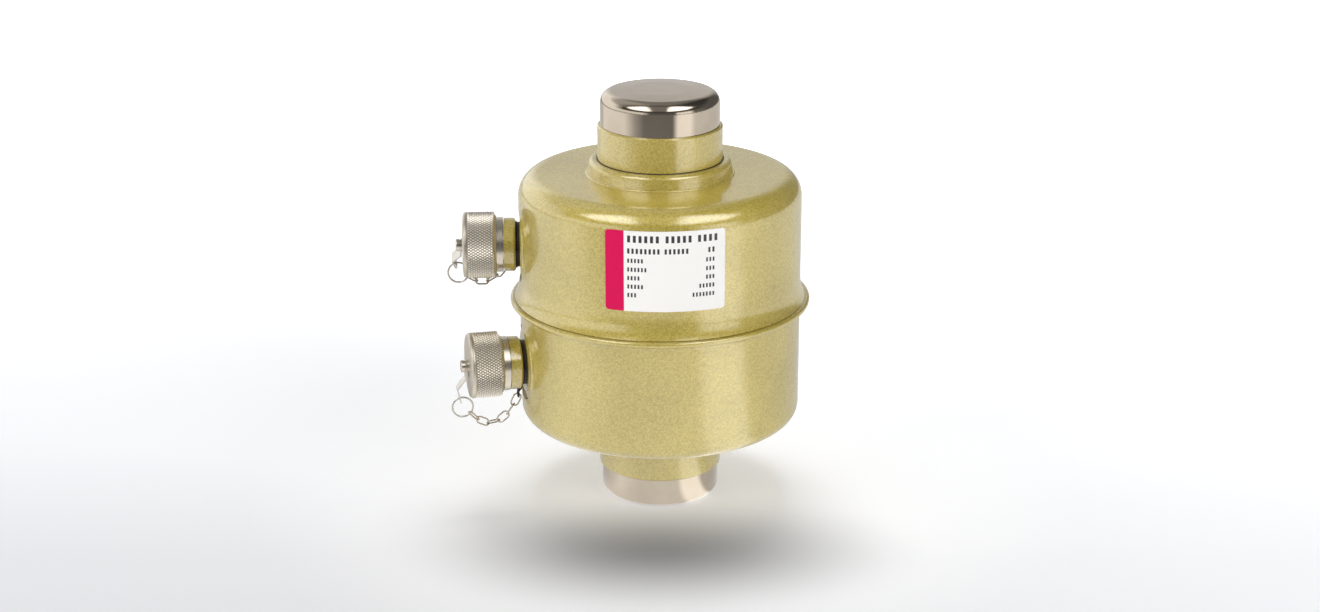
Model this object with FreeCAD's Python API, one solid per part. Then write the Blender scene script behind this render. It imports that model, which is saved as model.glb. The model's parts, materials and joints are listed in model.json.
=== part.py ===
"""A column load cell: a solid steel spring column in a sealed two-part housing.

The column carries the load from its top end to its bottom end. Strain gauges on its waist
measure how it shortens, a ring-shaped board inside turns that into numbers, and two screw
connectors bring them out. Each connector is closed by a knurled dust cap on a chain.

Frame: the origin is the middle of the column's bottom end, +Z runs up the column, and the
connectors point towards -X. Connector pieces are drawn in a local frame, where X runs out
along the connector's axis, Z is up, and the origin is on the column's axis.
"""

import FreeCAD
import Part
import math
import os

Vector = FreeCAD.Vector

# Spring column
column_height = 150.0
head_radius = 21.0
top_head_edge_radius = 4.2
bottom_head_edge_radius = 2.0
bearing_land_radius = 10.0
bearing_dome_radius = 180.0
waist_radius = 19.0
waist_half_flat = 16.5
waist_bottom = 52.0
waist_top = 98.0
waist_taper = 3.0

# Painted sleeves that stiffen the heads and carry the membranes' inner edges
sleeve_wall = 1.3
sleeve_seat_step = 0.3
sleeve_edge_chamfer = 0.5
upper_sleeve_top = 137.6
upper_sleeve_bottom = 111.0
lower_sleeve_bottom = 11.0
lower_sleeve_top = 39.0

# Housing of two drawn shells, with a rolled seam at mid height
housing_bottom = 30.0
housing_top = 120.0
housing_radius = 50.0
shell_wall = 1.5
upper_shoulder_radius = 7.6
lower_shoulder_radius = 5.2
seam_height = 75.3
seam_gap = 0.15
flare_height = 7.6
flare_reach = 1.9
lip_reach = 3.4
lip_thickness = 2.1
lip_root_height = 4.0
lip_root_fullness = 0.15
spigot_height = 5.0
spigot_wall = 1.2

# Neck rings that close the housing around the sleeves
neck_ring_height = 5.2
neck_ring_wall = 3.8
neck_ring_lean = 0.6
neck_ring_rounding = 1.9
neck_ring_flange_reach = 2.2
neck_ring_flange_depth = 1.5

# Membranes between the column and the shells
membrane_thickness = 0.6
membrane_depth = 8.0
membrane_flat = 3.0
membrane_wave_count = 3
membrane_wave_height = 1.2

# Clearances: a sliding gap between static pieces and a running gap at the caps' threads
seat_gap = 0.05
thread_gap = 0.07

# Strain gauges on the waist's flats
gauge_width = 10.0
gauge_height = 7.0
gauge_thickness = 0.3
gauge_spacing = 14.0

# Measuring board on three brackets
board_inner_radius = 24.0
board_outer_radius = 40.0
board_thickness = 1.6
board_seam_drop = 9.3
bracket_count = 3
bracket_width = 9.0
bracket_thickness = 1.6
bracket_drop = 12.0
bracket_margin = 4.0
board_screw_inset = 4.0
board_screw_radius = 1.5
board_screw_head_radius = 2.75
board_screw_head_height = 1.6
board_screw_length = 5.0
chip_sizes = ((10.0, 10.0, 1.6), (8.0, 5.0, 1.4), (6.5, 6.5, 2.0), (5.0, 4.0, 1.2))
chip_angles = (40.0, 75.0, 165.0, 285.0)

# Rating label, wrapped on the front of the upper shell
label_seam_margin = 2.25
label_top_margin = 6.5
label_left_angle = -21.5
label_right_angle = 25.8
label_thickness = 0.12
label_corner_radius = 1.2

# Places of the two connectors: gap from boss to membrane, and azimuth from -X towards the front.
# Turns about the connector's axis say which way the tether's tail and the cap's tab point, from
# straight down, and the link angle says where the chain's last link hangs in the ring.
upper_boss_gap = 3.5
upper_connector_azimuth = 3.0
upper_tail_turn = -70.0
upper_tab_turn = -40.0
upper_ring_link_angle = 203.0
lower_boss_gap = 0.1
lower_connector_azimuth = 12.0
lower_tail_turn = 0.0
lower_tab_turn = 0.0
lower_ring_link_angle = 221.0

# Welded boss that gives a connector a flat seat on the round wall
boss_radius = 13.5
boss_inset = 0.4
boss_depth = 5.6
boss_edge_rounding = 1.0
boss_land_radius = 10.6
boss_land_step = 0.35

# Receptacle, its seal, its collar and its inner nut
receptacle_bore_radius = 6.4
receptacle_stem_radius = 7.6
receptacle_tail = 4.0
receptacle_flange_radius = 9.7
receptacle_flange_thickness = 2.1
receptacle_barrel_radius = 8.9
collar_radius = 9.45
collar_length = 4.1
collar_chamfer = 0.6
groove_width = 0.3
seal_radius = 7.95
seal_thickness = 1.1
inner_nut_flats = 19.0
inner_nut_thickness = 3.0

# Contact insert
insert_recess = 5.6
insert_length = 11.0
pin_radius = 0.6
pin_count = 6
pin_circle_radius = 3.8
pin_length = 17.0
pin_tail = 3.5
solder_cup_radius = 0.85
solder_cup_length = 3.0

# Tether washer with its tail
tether_washer_thickness = 0.5
tether_washer_radius = 8.3
tether_tail_width = 3.2
tether_tail_gap = 0.15
tether_joggle = 1.0
tether_hole_radius = 1.1
tether_hole_reach = 11.8
tether_rivet_radius = 0.45
tether_rivet_height = 0.75

# Dust cap
cap_radius = 11.6
cap_length = 11.8
cap_end_gap = 0.2
cap_floor = 2.0
cap_outer_rounding = 1.0
cap_inner_chamfer = 1.5
cap_rim_length = 1.5
cap_knurl_depth = 0.2
cap_gasket_thickness = 1.0
cap_gasket_gap = 0.1
cap_gasket_overhang = 1.0
cap_travel = 4.0

# Screw that holds the swivel tab on the cap's end
screw_shank_radius = 1.1
screw_shank_depth = 1.5
screw_head_radius = 2.15
screw_head_height = 1.35
screw_slot_width = 0.6
screw_slot_depth = 0.6
screw_washer_radius = 2.4
screw_washer_thickness = 0.6
swivel_gap = 0.1

# Swivel tab: one bent strip from the screw to the ring
tab_thickness = 0.5
tab_width = 4.2
tab_eye_clearance = 0.15
tab_first_leg = 4.2
tab_bend_reach = 3.2
tab_bend_drop = 4.0
tab_tip_reach = 13.9
tab_tip_return = 1.3
tab_eyelet_drop = 12.0
tab_hole_radius = 0.95

# Ring and chain
ring_outer_diameter = 8.0
ring_wire = 0.65
ring_gap = 0.25
ring_lean = 15.0
link_wire = 0.6
link_pitch = 4.0
link_width = 3.3
link_play = 0.1
link_turns = (90.0, 20.0, -50.0, 40.0, -45.0, 30.0)
link_seat_drop = 0.6

# Worked-out values that several pieces share
seat_radius = head_radius - sleeve_seat_step
sleeve_radius = seat_radius + sleeve_wall
neck_ring_foot_radius = sleeve_radius + neck_ring_wall
neck_ring_top_radius = neck_ring_foot_radius - neck_ring_lean
neck_ring_flange_radius = neck_ring_foot_radius + neck_ring_flange_reach
lip_radius = housing_radius + lip_reach
label_bottom = seam_height + seam_gap + flare_height + label_seam_margin
label_height = housing_top - label_top_margin - label_bottom
board_height = seam_height - board_seam_drop
board_screw_circle = board_outer_radius - board_screw_inset
bracket_inner_radius = board_screw_circle - bracket_margin
chip_circle_radius = (board_inner_radius + board_outer_radius) / 2
membrane_reach = membrane_depth + (membrane_thickness + membrane_wave_height) / 2
upper_connector_height = housing_top - membrane_reach - upper_boss_gap - boss_radius
lower_connector_height = housing_bottom + membrane_reach + lower_boss_gap + boss_radius
boss_face = housing_radius - boss_inset
boss_back = boss_face - boss_depth
receptacle_back = boss_back - receptacle_tail
collar_back = boss_face + seal_thickness + tether_washer_thickness
receptacle_flange_back = collar_back + collar_length + groove_width
receptacle_flange_front = receptacle_flange_back + receptacle_flange_thickness
cap_start = receptacle_flange_front + cap_end_gap
cap_end = cap_start + cap_length
receptacle_mouth = cap_end - cap_floor - cap_gasket_thickness - cap_gasket_gap
insert_front = receptacle_mouth - insert_recess
insert_back = insert_front - insert_length
pin_back = insert_back - pin_tail
ring_radius = (ring_outer_diameter - ring_wire) / 2
link_count = len(link_turns)
tether_hole_station = boss_face + seal_thickness + tether_washer_thickness / 2 + tether_joggle
tab_station = cap_end + screw_washer_thickness + swivel_gap + tab_thickness / 2


def save(name, shape):
    """Write one sub-part to its own STEP file."""
    shape.exportStep(f"parts/{name}.step")


def outline(steps):
    """Join a closed outline: a point is a straight run, and a pair is an arc by way of its first."""
    first = here = steps[0]
    edges = []
    for step in [*steps[1:], first]:
        if isinstance(step, tuple):
            middle, end = step
            edges.append(Part.Arc(here, middle, end).toShape())
            here = end
        else:
            edges.append(Part.LineSegment(here, step).toShape())
            here = step
    return Part.Wire(edges)


def at(radius, height):
    """A point of a lathe outline."""
    return Vector(radius, 0, height)


def turned(steps):
    """Turn a closed outline of radius and height about the vertical axis."""
    face = Part.Face(outline(steps))
    solid = face.revolve(Vector(0, 0, 0), Vector(0, 0, 1), 360)
    return tidy(solid)


def tidy(shape):
    """One solid, facing outwards."""
    solid = shape.Solids[0] if shape.Solids else Part.makeSolid(shape)
    if solid.Volume < 0:
        solid.reverse()
    return solid


def rod(start, end, radius, hole=0.0):
    """A cylinder or tube along local X, from one station to another."""
    axis = Vector(1, 0, 0)
    solid = Part.makeCylinder(radius, end - start, Vector(start, 0, 0), axis)
    if hole:
        solid = solid.cut(Part.makeCylinder(hole, end - start, Vector(start, 0, 0), axis))
    return tidy(solid)


def rings_at(shape, radius, station, axis="x"):
    """The full-circle edges of a given radius at a given station along an axis."""
    found = []
    for edge in shape.Edges:
        curve = edge.Curve
        if not isinstance(curve, Part.Circle) or abs(curve.Radius - radius) > 1e-4:
            continue
        if abs(getattr(curve.Center, axis) - station) < 1e-4:
            found.append(edge)
    return found


def spring_column():
    """The column: two round heads, and a waist with four flats for the gauges."""
    rise = bearing_dome_radius - math.sqrt(bearing_dome_radius**2 - head_radius**2)
    inner = bearing_dome_radius - math.sqrt(bearing_dome_radius**2 - bearing_land_radius**2)
    dome_drop = rise - inner
    middle = (head_radius + bearing_land_radius) / 2
    half = bearing_dome_radius - math.sqrt(bearing_dome_radius**2 - middle**2) - inner
    top, low, r = column_height, 0.0, head_radius
    body = turned([
        at(0, low),
        at(bearing_land_radius, low),
        (at(middle, low + half), at(r, low + dome_drop)),
        at(r, lower_sleeve_bottom),
        at(seat_radius, lower_sleeve_bottom),
        at(seat_radius, waist_bottom - waist_taper),
        at(waist_radius, waist_bottom),
        at(waist_radius, waist_top),
        at(seat_radius, waist_top + waist_taper),
        at(seat_radius, upper_sleeve_top),
        at(r, upper_sleeve_top),
        at(r, top - dome_drop),
        (at(middle, top - half), at(bearing_land_radius, top)),
        at(0, top),
    ])
    body = body.makeFillet(top_head_edge_radius, rings_at(body, r, top - dome_drop, "z"))
    body = body.makeFillet(bottom_head_edge_radius, rings_at(body, r, low + dome_drop, "z"))
    height = waist_top - waist_bottom
    for quarter in range(4):
        slab = Part.makeBox(head_radius, 2 * head_radius, height)
        slab.translate(Vector(waist_half_flat, -head_radius, waist_bottom))
        slab.rotate(Vector(0, 0, 0), Vector(0, 0, 1), 90 * quarter)
        body = body.cut(slab)
    return tidy(body)


def sleeve(bottom, top, chamfer_top):
    """A painted sleeve on a head, chamfered at the end that shows."""
    inner = seat_radius + seat_gap
    shape = Part.makeCylinder(sleeve_radius, top - bottom, Vector(0, 0, bottom))
    shape = shape.cut(Part.makeCylinder(inner, top - bottom, Vector(0, 0, bottom)))
    end = top if chamfer_top else bottom
    return tidy(shape.makeChamfer(sleeve_edge_chamfer, rings_at(shape, sleeve_radius, end, "z")))


def boss_openings():
    """The two round openings that the bosses fill, as a tool that crosses the wall."""
    port = rod(board_outer_radius, 2 * housing_radius, boss_radius)
    upper = in_place(port, upper_connector_height, upper_connector_azimuth)
    return upper.fuse(in_place(port, lower_connector_height, lower_connector_azimuth))


def upper_shell():
    """The upper drawn shell: a top plate, a wall, and a skirt that flares over the seam."""
    outer, inner = housing_radius, housing_radius - shell_wall
    top, foot = housing_top, seam_height + seam_gap
    flare_top = foot + flare_height
    flare_out = outer + flare_reach
    flare_mid = outer + 0.27 * flare_reach
    middle = foot + 0.45 * flare_height
    hole = neck_ring_foot_radius - shell_wall
    shape = turned([
        at(hole, top),
        at(hole, top - shell_wall),
        at(inner, top - shell_wall),
        at(inner, flare_top),
        (at(flare_mid - shell_wall, middle), at(flare_out - shell_wall, foot)),
        at(flare_out, foot),
        (at(flare_mid, middle), at(outer, flare_top)),
        at(outer, top),
    ])
    shape = shape.makeFillet(upper_shoulder_radius, rings_at(shape, outer, top, "z"))
    inner_round = upper_shoulder_radius - shell_wall
    shape = shape.makeFillet(inner_round, rings_at(shape, inner, top - shell_wall, "z"))
    return tidy(shape.cut(boss_openings()))


def lower_shell():
    """The lower drawn shell: a floor, a wall, a rolled lip and a spigot inside the upper one."""
    outer, inner = housing_radius, housing_radius - shell_wall
    low, seam = housing_bottom, seam_height
    lip_low = seam - lip_thickness
    lip_middle = seam - lip_thickness / 2
    lip_start = lip_radius - lip_thickness / 2
    root = lip_low - lip_root_height + lip_thickness
    root_mid = at(outer + 0.3 * (lip_start - outer), (root + lip_low) / 2 + lip_root_fullness)
    spigot_outer = inner - seat_gap
    spigot_inner = spigot_outer - spigot_wall
    hole = neck_ring_foot_radius - shell_wall
    shape = turned([
        at(hole, low),
        at(outer, low),
        at(outer, root),
        (root_mid, at(lip_start, lip_low)),
        (at(lip_radius, lip_middle), at(lip_start, seam)),
        at(spigot_outer, seam),
        at(spigot_outer, seam + spigot_height),
        at(spigot_inner, seam + spigot_height),
        at(spigot_inner, lip_low),
        at(inner, root),
        at(inner, low + shell_wall),
        at(hole, low + shell_wall),
    ])
    shape = shape.makeFillet(lower_shoulder_radius, rings_at(shape, outer, low, "z"))
    inner_round = lower_shoulder_radius - shell_wall
    shape = shape.makeFillet(inner_round, rings_at(shape, inner, low + shell_wall, "z"))
    return tidy(shape.cut(boss_openings()))


def neck_ring(plate, outwards):
    """A turned ring on a housing plate, with a rounded end that closes around the sleeve."""
    bore = sleeve_radius + seat_gap
    foot, crown = neck_ring_foot_radius, neck_ring_top_radius
    end = plate + outwards * neck_ring_height
    turn = end - outwards * neck_ring_rounding
    slant = neck_ring_rounding * (1 - math.sqrt(0.5))
    under = plate - outwards * shell_wall
    back = under - outwards * neck_ring_flange_depth
    hole = neck_ring_foot_radius - shell_wall - seat_gap
    return turned([
        at(bore, back),
        at(neck_ring_flange_radius, back),
        at(neck_ring_flange_radius, under),
        at(hole, under),
        at(hole, plate),
        at(foot, plate),
        at(crown, turn),
        (at(crown - slant, end - outwards * slant), at(crown - neck_ring_rounding, end)),
        at(bore, end),
    ])


def membrane_waves(inner, outer, level, outwards):
    """The round waves of one side of a membrane, as arcs in the order of the outline."""
    count = 2 * membrane_wave_count
    wave = (outer - inner) / count
    arcs = []
    for index in range(count):
        start = inner + index * wave
        lift = membrane_wave_height / 2 * (1 if index % 2 else -1)
        end = start + wave if outwards else start
        arcs.append((at(start + wave / 2, level + lift), at(end, level)))
    return arcs if outwards else arcs[::-1]


def membrane(plate, inwards):
    """A thin rolled disc with round waves, from a sleeve's end to the wall of a shell."""
    inner = sleeve_radius + seat_gap
    outer = housing_radius - shell_wall - seat_gap
    low = plate + inwards * membrane_depth - membrane_thickness / 2
    high = low + membrane_thickness
    first, last = inner + membrane_flat, outer - membrane_flat
    return turned([
        at(inner, low),
        at(first, low),
        *membrane_waves(first, last, low, True),
        at(outer, low),
        at(outer, high),
        at(last, high),
        *membrane_waves(first, last, high, False),
        at(inner, high),
    ])


def strain_gauges():
    """Two gauge patches on each flat of the waist."""
    patches = []
    middle = (waist_bottom + waist_top) / 2
    for quarter in range(4):
        for side in (-1, 1):
            patch = Part.makeBox(gauge_thickness, gauge_width, gauge_height)
            low = middle + side * gauge_spacing / 2 - gauge_height / 2
            patch.translate(Vector(waist_half_flat, -gauge_width / 2, low))
            patch.rotate(Vector(0, 0, 0), Vector(0, 0, 1), 90 * quarter)
            patches.append(patch)
    return Part.makeCompound(patches)


def around(shape, circle_radius, angle):
    """A copy of a shape moved out along +X and turned about the column's axis."""
    copy = shape.copy()
    copy.translate(Vector(circle_radius, 0, 0))
    copy.rotate(Vector(0, 0, 0), Vector(0, 0, 1), angle)
    return copy


def bracket_angles():
    """The brackets stand clear of the connectors."""
    return [360 * index / bracket_count for index in range(bracket_count)]


def circuit_board():
    """The ring-shaped board with its screw holes."""
    board = Part.makeCylinder(board_outer_radius, board_thickness, Vector(0, 0, board_height))
    hole = Part.makeCylinder(board_inner_radius, board_thickness, Vector(0, 0, board_height))
    board = board.cut(hole)
    clearance = board_screw_radius + seat_gap
    drill = Part.makeCylinder(clearance, board_thickness, Vector(0, 0, board_height))
    for angle in bracket_angles():
        board = board.cut(around(drill, board_screw_circle, angle))
    return tidy(board)


def board_chips():
    """The packages on top of the board."""
    chips = []
    for (length, width, height), angle in zip(chip_sizes, chip_angles):
        chip = Part.makeBox(length, width, height)
        chip.translate(Vector(-length / 2, -width / 2, board_height + board_thickness))
        chips.append(around(chip, chip_circle_radius, angle))
    return Part.makeCompound(chips)


def board_brackets():
    """The angle brackets on the lower shell's wall, which carry the board."""
    wall = housing_radius - shell_wall - seat_gap
    reach = wall - bracket_inner_radius
    shelf = Part.makeBox(reach, bracket_width, bracket_thickness)
    shelf.translate(Vector(bracket_inner_radius, -bracket_width / 2, board_height - bracket_thickness))
    leg = Part.makeBox(2 * bracket_thickness, bracket_width, bracket_drop)
    leg.translate(Vector(wall - 2 * bracket_thickness, -bracket_width / 2, board_height - bracket_drop))
    bracket = shelf.fuse(leg).removeSplitter()
    depth = 2 * bracket_drop
    wall_face = Part.makeCylinder(wall, depth, Vector(0, 0, board_height - bracket_drop))
    bracket = bracket.common(wall_face)
    hole_radius = board_screw_radius + seat_gap
    hole = Part.makeCylinder(hole_radius, depth, Vector(board_screw_circle, 0, board_height - bracket_drop))
    bracket = tidy(bracket.cut(hole))
    return Part.makeCompound([around(bracket, 0, angle) for angle in bracket_angles()])


def board_screws():
    """The screws that hold the board on its brackets."""
    top = board_height + board_thickness
    shank = Part.makeCylinder(board_screw_radius, board_screw_length, Vector(0, 0, top - board_screw_length))
    head = Part.makeCylinder(board_screw_head_radius, board_screw_head_height, Vector(0, 0, top))
    screw = tidy(shank.fuse(head).removeSplitter())
    return Part.makeCompound([around(screw, board_screw_circle, a) for a in bracket_angles()])


def rating_label():
    """The label: a thin curved plate with rounded corners."""
    inner, outer = housing_radius, housing_radius + label_thickness
    ring = Part.makeCylinder(outer, label_height, Vector(0, 0, label_bottom))
    ring = ring.cut(Part.makeCylinder(inner, label_height, Vector(0, 0, label_bottom)))
    left = housing_radius * math.sin(math.radians(label_left_angle))
    right = housing_radius * math.sin(math.radians(label_right_angle))
    window = Part.makeBox(right - left, housing_radius, label_height)
    window.translate(Vector(left, -1.2 * housing_radius, label_bottom))
    corners = [edge for edge in window.Edges if abs(edge.tangentAt(0).y) > 0.99]
    window = window.makeFillet(label_corner_radius, corners)
    return tidy(ring.common(window))


def in_place(shape, height, azimuth):
    """Put a connector piece from its local frame on the housing."""
    copy = shape.copy()
    copy.rotate(Vector(0, 0, 0), Vector(0, 0, 1), 180 + azimuth)
    copy.translate(Vector(0, 0, height))
    return copy


def connector_boss():
    """The welded boss: a turned plug with a rounded edge and a raised seat."""
    step = boss_face - boss_land_step
    solid = rod(boss_back, step, boss_radius - seat_gap)
    solid = solid.makeFillet(boss_edge_rounding, rings_at(solid, boss_radius - seat_gap, step))
    solid = solid.fuse(rod(step, boss_face, boss_land_radius)).removeSplitter()
    bore = receptacle_stem_radius + seat_gap
    return tidy(solid.cut(rod(boss_back, boss_face, bore)))


def receptacle():
    """The plated connector body: stem, flange and the barrel that the cap screws on."""
    solid = rod(receptacle_back, receptacle_flange_back, receptacle_stem_radius)
    flange = rod(receptacle_flange_back, receptacle_flange_front, receptacle_flange_radius)
    solid = solid.fuse(flange)
    solid = solid.fuse(rod(receptacle_flange_front, receptacle_mouth, receptacle_barrel_radius))
    solid = solid.removeSplitter()
    return tidy(solid.cut(rod(receptacle_back, receptacle_mouth, receptacle_bore_radius)))


def connector_seal():
    """The rubber ring between the boss and the tether washer."""
    start, end = boss_face, boss_face + seal_thickness
    bore = receptacle_stem_radius + seat_gap
    seal = rod(start, end, seal_radius, bore)
    round_edge = 0.6 * min(seal_radius - bore, seal_thickness / 2)
    edges = rings_at(seal, seal_radius, start) + rings_at(seal, seal_radius, end)
    return tidy(seal.makeFillet(round_edge, edges))


def connector_collar():
    """The painted collar behind the flange, chamfered towards the housing."""
    start, end = collar_back, collar_back + collar_length
    collar = rod(start, end, collar_radius, receptacle_stem_radius + seat_gap)
    return tidy(collar.makeChamfer(collar_chamfer, rings_at(collar, collar_radius, start)))


def connector_nut():
    """The hexagon nut that clamps the receptacle from inside the housing."""
    corner = inner_nut_flats / math.sqrt(3)
    start = boss_back - inner_nut_thickness
    corners = []
    for index in range(6):
        angle = math.radians(60 * index)
        corners.append(Vector(start, corner * math.cos(angle), corner * math.sin(angle)))
    hexagon = Part.Face(Part.makePolygon([*corners, corners[0]]))
    nut = hexagon.extrude(Vector(inner_nut_thickness, 0, 0))
    bore = receptacle_stem_radius + seat_gap
    return tidy(nut.cut(rod(start, boss_back, bore)))


def contact_insert():
    """The moulded insert with a bore for each contact."""
    insert = rod(insert_back, insert_front, receptacle_bore_radius - seat_gap)
    drill = rod(insert_back, insert_front, pin_radius + seat_gap)
    for place in pin_places():
        hole = drill.copy()
        hole.translate(place)
        insert = insert.cut(hole)
    return tidy(insert)


def pin_places():
    """The contacts' places around the connector's axis."""
    places = []
    for index in range(pin_count):
        angle = 2 * math.pi * index / pin_count
        across = pin_circle_radius * math.cos(angle)
        up = pin_circle_radius * math.sin(angle)
        places.append(Vector(0, across, up))
    return places


def contact_pins():
    """The contacts, each with a solder cup behind the insert."""
    pin = rod(pin_back, pin_back + pin_length, pin_radius)
    cup = rod(pin_back, pin_back + solder_cup_length, solder_cup_radius)
    pin = tidy(pin.fuse(cup).removeSplitter())
    pins = []
    for place in pin_places():
        copy = pin.copy()
        copy.translate(place)
        pins.append(copy)
    return Part.makeCompound(pins)


def tether_washer(turn):
    """The washer under the collar, with a tail for the chain and a rivet at the tail's root."""
    back = boss_face + seal_thickness
    front = back + tether_washer_thickness
    plate = rod(back, front, tether_washer_radius)
    width = tether_tail_width
    stub_reach = collar_radius + tether_tail_gap
    stub = Part.makeBox(tether_washer_thickness, width, stub_reach)
    stub.translate(Vector(back, -width / 2, -stub_reach))
    tail = Part.makeBox(tether_washer_thickness, width, tether_hole_reach - stub_reach)
    tail.translate(Vector(back + tether_joggle, -width / 2, -tether_hole_reach))
    joggle = outline([
        Vector(back, -width / 2, -stub_reach),
        Vector(front, -width / 2, -stub_reach),
        Vector(front + tether_joggle, -width / 2, -stub_reach - tether_joggle),
        Vector(back + tether_joggle, -width / 2, -stub_reach - tether_joggle),
    ])
    joggle = Part.Face(joggle).extrude(Vector(0, width, 0))
    tip = rod(back + tether_joggle, front + tether_joggle, width / 2)
    tip.translate(Vector(0, 0, -tether_hole_reach))
    rivet_foot = Vector(back, seal_radius + seat_gap, 0)
    rivet = Part.makeCylinder(tether_rivet_radius, tether_rivet_height, rivet_foot, Vector(0, 1, 0))
    solid = plate.fuse([stub, joggle, tail, tip]).removeSplitter()
    solid.rotate(Vector(0, 0, 0), Vector(1, 0, 0), turn)
    solid = solid.fuse(rivet).removeSplitter()
    bore = receptacle_stem_radius + seat_gap
    solid = solid.cut(rod(back, front, bore))
    hole = rod(back, front + tether_joggle, tether_hole_radius)
    hole.translate(Vector(0, 0, -tether_hole_reach))
    hole.rotate(Vector(0, 0, 0), Vector(1, 0, 0), turn)
    return tidy(solid.cut(hole))


def dust_cap():
    """The cap: a turned cup with a plain rim at its outer end and a slightly lower grip band."""
    solid = rod(cap_start, cap_end, cap_radius)
    solid = solid.makeFillet(cap_outer_rounding, rings_at(solid, cap_radius, cap_end))
    solid = solid.makeChamfer(cap_inner_chamfer, rings_at(solid, cap_radius, cap_start))
    band = rod(cap_start + cap_inner_chamfer, cap_end - cap_rim_length, 2 * cap_radius)
    band = band.cut(rod(cap_start, cap_end, cap_radius - cap_knurl_depth))
    solid = solid.cut(band)
    bore = receptacle_barrel_radius + thread_gap
    solid = solid.cut(rod(cap_start, cap_end - cap_floor, bore))
    shank = screw_shank_radius + seat_gap
    solid = solid.cut(rod(cap_end - screw_shank_depth, cap_end, shank))
    return tidy(solid)


def cap_gasket():
    """The flat gasket on the cap's floor, which closes on the receptacle's mouth."""
    outer = receptacle_barrel_radius + thread_gap - seat_gap
    front = cap_end - cap_floor
    return rod(front - cap_gasket_thickness, front, outer, receptacle_bore_radius - cap_gasket_overhang)


def cap_screw():
    """The slotted screw on the cap's end, with the spacer that the swivel tab turns on."""
    head_start = tab_station + tab_thickness / 2 + swivel_gap
    head_end = head_start + screw_head_height
    solid = rod(cap_end - screw_shank_depth, head_start, screw_shank_radius)
    solid = solid.fuse(rod(cap_end, cap_end + screw_washer_thickness, screw_washer_radius))
    head = rod(head_start, head_end, screw_head_radius)
    head = head.makeFillet(0.35 * screw_head_height, rings_at(head, screw_head_radius, head_end))
    solid = solid.fuse(head).removeSplitter()
    slot = Part.makeBox(screw_slot_depth, screw_slot_width, 2 * screw_head_radius)
    slot.translate(Vector(head_end - screw_slot_depth, -screw_slot_width / 2, -screw_head_radius))
    return tidy(solid.cut(slot))


def swivel_tab(turn):
    """The bent strip that turns on the cap's screw and carries the ring."""
    half = tab_thickness / 2
    bend = tab_first_leg
    out = tab_station + tab_bend_reach
    low = bend + tab_bend_drop
    tip = out - tab_tip_return
    slant = half * math.tan(math.radians(22.5))
    path = outline([
        Vector(tab_station - half, 0, 0),
        Vector(tab_station + half, 0, 0),
        Vector(tab_station + half, 0, -bend + slant),
        Vector(out + half, 0, -low + slant),
        Vector(tip + half, 0, -tab_tip_reach),
        Vector(tip - half, 0, -tab_tip_reach),
        Vector(out - half, 0, -low - slant),
        Vector(tab_station - half, 0, -bend - slant),
    ])
    strip = Part.Face(path).extrude(Vector(0, tab_width, 0))
    strip.translate(Vector(0, -tab_width / 2, 0))
    radius = tab_width / 2
    eye = rod(tab_station - half, tab_station + half, radius)
    solid = strip.fuse(eye).removeSplitter()
    eye_hole = screw_shank_radius + tab_eye_clearance
    hole = rod(tab_station - tab_thickness, tab_station + tab_thickness, eye_hole)
    solid = solid.cut(hole)
    blank = rod(tip - tab_width, out + tab_width, radius)
    blank.translate(Vector(0, 0, radius - tab_tip_reach))
    upper = Part.makeBox(4 * tab_width, tab_width, tab_tip_reach + radius)
    upper.translate(Vector(tab_station - tab_width, -radius, radius - tab_tip_reach))
    solid = solid.common(blank.fuse(upper))
    eyelet = rod(tip - tab_width, out + tab_width, tab_hole_radius)
    eyelet.translate(Vector(0, 0, -tab_eyelet_drop))
    solid = tidy(solid.cut(eyelet))
    solid.rotate(Vector(0, 0, 0), Vector(1, 0, 0), turn)
    return solid


def tab_hole_place(turn):
    """The middle of the tab's hole."""
    low = tab_first_leg + tab_bend_drop
    share = (tab_eyelet_drop - low) / (tab_tip_reach - low)
    station = tab_station + tab_bend_reach - share * tab_tip_return
    return turned_down(station, tab_eyelet_drop, turn)


def turned_down(station, reach, turn):
    """A point at a reach from the connector's axis, turned about it from straight down."""
    angle = math.radians(turn)
    return Vector(station, reach * math.sin(angle), -reach * math.cos(angle))


def ring_centre(turn):
    """The ring hangs from the tab's hole and leans in under the cap's edge."""
    lean = math.radians(ring_lean)
    return tab_hole_place(turn) - Vector(math.sin(lean), 0, math.cos(lean)) * ring_radius


def hang(span, rise):
    """Angles of a hanging chain's links, whose slopes grow evenly from end to end.

    Each link of a chain carries one link's weight more than its neighbour, so with the same
    pull along the span, the tangents of their angles are in even steps.
    """
    def end(first, step):
        angles = [math.atan(first + step * index) for index in range(link_count)]
        across = link_pitch * sum(math.cos(angle) for angle in angles)
        up = link_pitch * sum(math.sin(angle) for angle in angles)
        return across, up, angles

    def level(step):
        low, high = -50.0, 50.0
        for _ in range(60):
            middle = (low + high) / 2
            if end(middle, step)[1] < rise:
                low = middle
            else:
                high = middle
        return (low + high) / 2

    slack, tight = 20.0, 0.0
    for _ in range(60):
        step = (slack + tight) / 2
        if end(level(step), step)[0] < span:
            slack = step
        else:
            tight = step
    step = (slack + tight) / 2
    return end(level(step), step)[2]


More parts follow.
